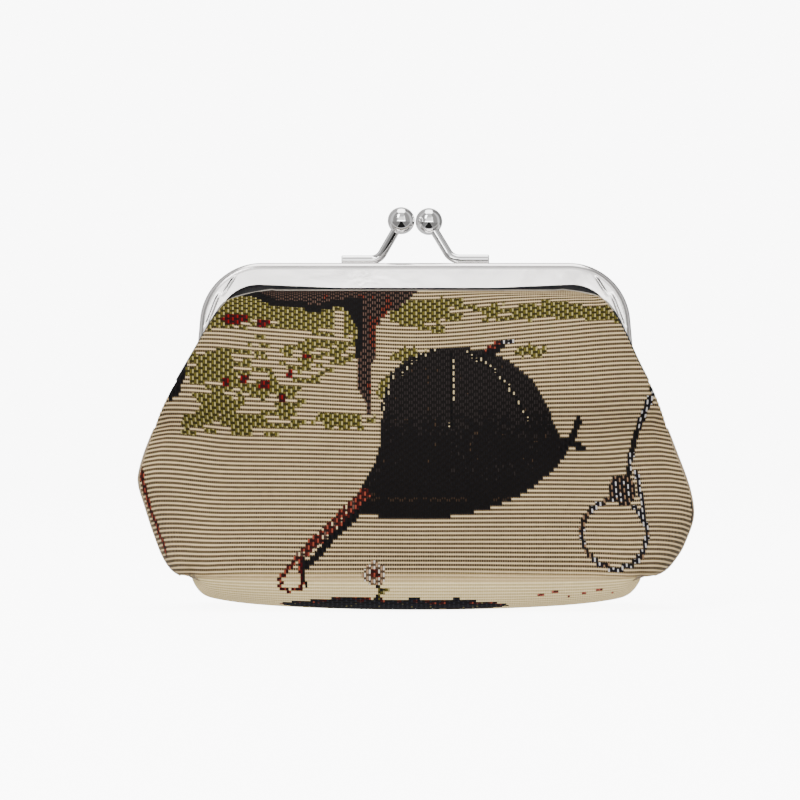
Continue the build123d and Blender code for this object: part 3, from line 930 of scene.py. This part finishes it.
def lining(name, flip):
    """The black lining: the same form, nested inside, with its own loose folds."""
    grid, spare = face_grid(np.linspace(0, 86.5, 84), np.linspace(-82, 82, 150))
    inward = 1.3 + 0.35 * np.sin(0.33 * grid[..., 0] + 0.1 * grid[..., 2])
    inward *= smooth(0.0, 3.0, spare) * smooth(TOP_Z + 0.1, 75.5, grid[..., 2])
    grid = grid - grid_normals(grid) * inward[..., None]
    quads = grid_quads(*grid.shape[:2])
    if flip:
        grid[..., 1] *= -1
    else:
        quads = quads[:, ::-1]
    mesh, _, _ = joined_mesh(name, grid.reshape(-1, 3), quads, 200)
    mesh.materials.append(satin)
    return add_object(name, mesh)


def bend_with(obj):
    """Bakes the piece's placement into its mesh and reads its points."""
    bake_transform(obj)
    count = len(obj.data.vertices)
    co = np.zeros(count * 3, np.float32)
    obj.data.vertices.foreach_get("co", co)


HALVES = (("front", False), ("back", True))
tapestry = tapestry_material("tapestry")
satin = satin_material("satin_lining")
outer = {name: make_panel(f"tapestry_{name}", MOTIFS[name], flip) for name, flip in HALVES}
linings = {name: lining(f"satin_{name}", flip) for name, flip in HALVES}
for side_name in ("front", "back"):
    bend_with(outer[side_name])
    bend_with(linings[side_name])
    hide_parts(f"outer_panel_{side_name}", f"interlining_{side_name}")
    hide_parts(f"lining_{side_name}")

# --- trims ---

ENDS = (("left", LEFT_OUTLINE, -1), ("right", RIGHT_OUTLINE, 1))
FRAME_HALF, FRAME_TOP = 56.0, 86.6  # half the frame's width at the hinges, and its top
FACE_SIDE, FACE_TOP = 4.4, 5.1  # the frame's face on the arms, and at the top's corners
FLARE = 3.2 / 36.6  # how far each arm leans in for each mm of height
ARCH_CORNER = 10.5
ARCH_LOW = 56.0  # the binding starts here on each arm
ARCH_DIP = 1.2  # how far the line drops in the middle of the top
black_cloth = binding_material("black_binding")
cream_edge = satin_material("folded_edge", (0.22, 0.20, 0.17))
seam_cloth = binding_material("turned_seam", (0.20, 0.15, 0.09), (0.48, 0.38, 0.24))


def arch(inset):
    """The frame's inside line as (x, z), moved inwards by inset, from the left arm round to the right."""
    corner = ARCH_CORNER - inset * 0.5
    side = FRAME_HALF - FACE_SIDE - inset
    top = FRAME_TOP - FACE_TOP - inset
    corner_x = side - FLARE * (top - HINGE_Z) - corner
    line = []
    for k in range(24):
        z = ARCH_LOW + (top - corner - ARCH_LOW) * k / 24
        line.append((-(side - FLARE * (z - HINGE_Z)), z))
    for k in range(27):
        a = math.pi - math.pi / 2 * k / 26
        line.append((-corner_x + corner * math.cos(a), top - corner + corner * math.sin(a)))
    for k in range(1, 40):
        x = -corner_x * (1 - k / 40)
        line.append((x, top - ARCH_DIP * smooth(-corner_x, -18.0, x)))
    return line + [(0.0, top - ARCH_DIP)] + [(-x, z) for x, z in reversed(line)]


def panel_edge():
    """The panel's top edge from arm to arm."""
    top = SURFACE[-1]
    parts = [top[np.abs(top[:, 0]) < 35]]
    for _, outline, side in ENDS:
        z = np.linspace(74.5, TOP_Z, 30)
        parts.append(np.stack([side * profile(outline, z, 0.7), -profile(SIDE_DEPTH, z, 1.2), z], 1))
    return np.concatenate([parts[1], parts[0], parts[2][::-1]])


def corner_threads(side_name, flip):
    """Name and points of each short stitch over the sewn box corners."""
    made = []
    for end, column, base_column, step in (("left", first, 1, 5), ("right", last, len(base_u) - 2, -5)):
        for k in range(4):
            c, b = column + step * k // 2, base_column + step * k // 2
            points = np.array([face[4 + k % 2, c], face[1, c], base[-3, b], base[-6 - k % 2, b]])
            points[:, 1] -= 0.22
            points[:, 0] += 0.22 * np.sign(points[:, 0])
            if flip:
                points[:, 1] *= -1
            made.append((f"corner_thread_{side_name}_{end}_{k + 1}", points))
    return made


for end, outline, side in ENDS:
    z = np.linspace(FOLD_Z + 0.6, 45.0, 60)
    seam_line = np.stack([side * (profile(outline, z, 0.7) - 0.15), 0 * z, z], 1)
    seam = tube(f"side_seam_{end}", seam_line, 0.42, seam_cloth, 8)
    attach(seam, "bag")
for side_name, flip in HALVES:
    band_lines = [arch(inset) for inset in (-1.2, 0.6, 2.0, 3.4, 4.6)]
    band = ribbon(f"binding_{side_name}", band_lines, (-2.9, -3.45, -3.55, -3.3, -2.6), black_cloth, flip)
    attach(band, f"{side_name}_half")
    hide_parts(f"edge_binding_{side_name}")
    points = panel_edge()
    points[:, 1] -= 0.05
    if flip:
        points[:, 1] *= -1
    hem = tube(f"folded_edge_{side_name}", points, 0.15, cream_edge)
    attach(hem, f"{side_name}_half")
    for thread_name, thread_points in corner_threads(side_name, flip):
        thread = tube(thread_name, thread_points, 0.2, seam_cloth, 8)
        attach(thread, "bag")
    for end, outline, side in ENDS:
        z = np.linspace(57.0, 77.0, 60)
        x = side * (profile(outline, z, 0.7) + 0.10)
        y = -(profile(SIDE_DEPTH, z, 1.2) + profile(EDGE_DEPTH, z, 1.2)) / 2 * (-1 if flip else 1)
        piping = tube(f"side_piping_{side_name}_{end}", np.stack([x, y, z], 1), 0.26, black_cloth)
        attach(piping, f"{side_name}_half")

# --- metal ---

CRIMPS = ((45.2, 83.2, 47.9, 78.9), (49.4, 78.4, 52.4, 70.5), (50.6, 73.0, 52.6, 61.0))
nickel = metal_material("polished_nickel", (0.76, 0.735, 0.72), 0.13, 0.24, 0.95, CRIMPS)
chrome = metal_material("bright_chrome", (0.86, 0.855, 0.85), 0.02, 0.06, 0.97)
rivet = metal_material("rivet_nickel", (0.7, 0.69, 0.67), 0.2, 0.35, 0.9)
paper = paper_material("twisted_paper")
LOOKS = {
    "frame_": (nickel, "frame_metal"),
    "clasp_": (chrome, "clasp_metal"),
    "hinge_": (rivet, "rivet_metal"),
    "paper_cord_": (paper, "paper_cord"),
}
for node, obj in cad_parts.items():
    for start, (material, slot_name) in LOOKS.items():
        if node.startswith(start):
            obj.data.materials.clear()
            obj.data.materials.append(material)

# --- studio ---


def studio_bowl():
    """A pale round floor that curves up into a wall all round."""
    floor_radius, curve, high, around = 1.9, 0.6, 3.2, 96
    line = [(0.3, 0.0), (1.0, 0.0), (floor_radius, 0.0)]
    for k in range(1, 17):
        a = math.pi / 2 * k / 16
        line.append((floor_radius + curve * math.sin(a), curve - curve * math.cos(a)))
    line.append((floor_radius + curve, high))
    verts = [(0.0, 0.0, 0.0)]
    for reach, z in line:
        for k in range(around):
            a = 2 * math.pi * k / around
            verts.append((reach * math.cos(a), reach * math.sin(a), z))
    faces = [(0, 1 + k, 1 + (k + 1) % around) for k in range(around)] + ring_faces(len(line), around, 1)
    n = Nodes("white_paper")
    white = n.mix(n.noise(3, 2), (0.93, 0.93, 0.93, 1), (0.95, 0.95, 0.95, 1))
    paper = n.finish(white, 0.9, Specular_IOR_Level=0.1, Emission_Color=(1, 1, 1, 1), Emission_Strength=8.0)
    obj = add_mesh("backdrop", verts, faces, paper)
    obj.visible_diffuse = obj.visible_glossy = obj.visible_shadow = False


def card(name, corners, shade, glow):
    """A card that only shows in the metal's reflections."""
    look = {"Specular_IOR_Level": 0.0, "Emission_Color": (1, 0.985, 0.975, 1), "Emission_Strength": glow}
    board = Nodes(name).finish((shade, shade, shade, 1), 0.8, **look)
    obj = add_mesh(name, corners, [(0, 1, 2, 3)], board)
    obj.visible_camera = obj.visible_diffuse = obj.visible_shadow = False


def upright(x0, y0, x1, y1, low, high):
    """Corners of a standing card between two points of the floor."""
    return [(x0, y0, low), (x1, y1, low), (x1, y1, high), (x0, y0, high)]


def level(x0, x1, y0, y1, z):
    """Corners of a lying card."""
    return [(x0, y0, z), (x1, y0, z), (x1, y1, z), (x0, y1, z)]


def face_to(obj, where, at):
    """Puts a light or camera at one point, facing another."""
    obj.location = where
    obj.rotation_mode = "QUATERNION"
    obj.rotation_quaternion = (Vector(at) - Vector(where)).to_track_quat("-Z", "Y")


def area_light(name, where, at, size, power):
    """A soft light of this size, with its power in watts."""
    data = bpy.data.lights.new(name, "AREA")
    data.shape = "RECTANGLE"
    data.size, data.size_y = size
    data.energy = power
    face_to(add_object(name, data), where, at)


CARDS = (
    # name, corners, shade, glow
    ("front_card", upright(-0.7, -1.3, 0.7, -1.3, 0.03, 0.9), 0.5, 1.32),
    ("low_card", level(-0.065, 0.065, -1.2, -0.045, 0.004), 0.01, 0.0),
    ("low_left_card", level(-0.9, -0.07, -1.2, -0.045, 0.004), 0.02, 0.24),
    ("low_right_card", level(0.07, 0.9, -1.2, -0.045, 0.004), 0.02, 0.24),
    ("left_card", upright(-0.42, -0.55, -0.50, -0.15, 0.0, 1.6), 0.02, 0.35),
    ("right_card", upright(0.42, -0.62, 0.50, -0.10, 0.0, 1.6), 0.01, 0.40),
    ("far_left_card", upright(-0.40, 0.10, -0.26, 0.55, 0.0, 1.2), 0.02, 0.6),
    ("far_right_card", upright(0.40, 0.10, 0.26, 0.55, 0.0, 1.2), 0.02, 0.25),
    ("sky_card", level(-0.5, 0.5, -0.5, 0.6, 1.4), 0.5, 3.0),
)
studio_bowl()
for card_row in CARDS:
    card(*card_row)
area_light("key", (-0.60, -0.75, 0.85), (0, 0, 0.05), (0.6, 0.6), 12.0)
area_light("fill", (0.75, -0.8, 0.40), (0, 0, 0.05), (0.7, 0.9), 3.5)
area_light("low_fill", (0.0, -0.9, 0.05), (0, 0, 0.02), (1.2, 0.1), 3.4)
area_light("top", (0.0, 0.1, 1.1), (0, 0, 0.05), (0.9, 0.9), 7.0)

world = bpy.data.worlds.new("studio")
bpy.context.scene.world = world
world.use_nodes = True
sky = world.node_tree.nodes["Background"]
sky.inputs["Color"].default_value = (1, 1, 1, 1)
sky.inputs["Strength"].default_value = 0.95

CAMERA_X, CAMERA_AWAY, CAMERA_Z = -0.0038, 0.76, 0.046
TARGET_Z = 0.0522
SEEN_WIDTH = 0.2016  # what the frame holds at the object's distance
SENSOR_WIDTH = 36
camera_data = bpy.data.cameras.new("camera")
camera_data.sensor_width = SENSOR_WIDTH
camera_data.lens = SENSOR_WIDTH * CAMERA_AWAY / SEEN_WIDTH
camera_data.clip_start, camera_data.clip_end = 0.01, 20
camera = add_object("camera", camera_data)
face_to(camera, (CAMERA_X, -CAMERA_AWAY, CAMERA_Z), (CAMERA_X, 0.0, TARGET_Z))
bpy.context.scene.camera = camera
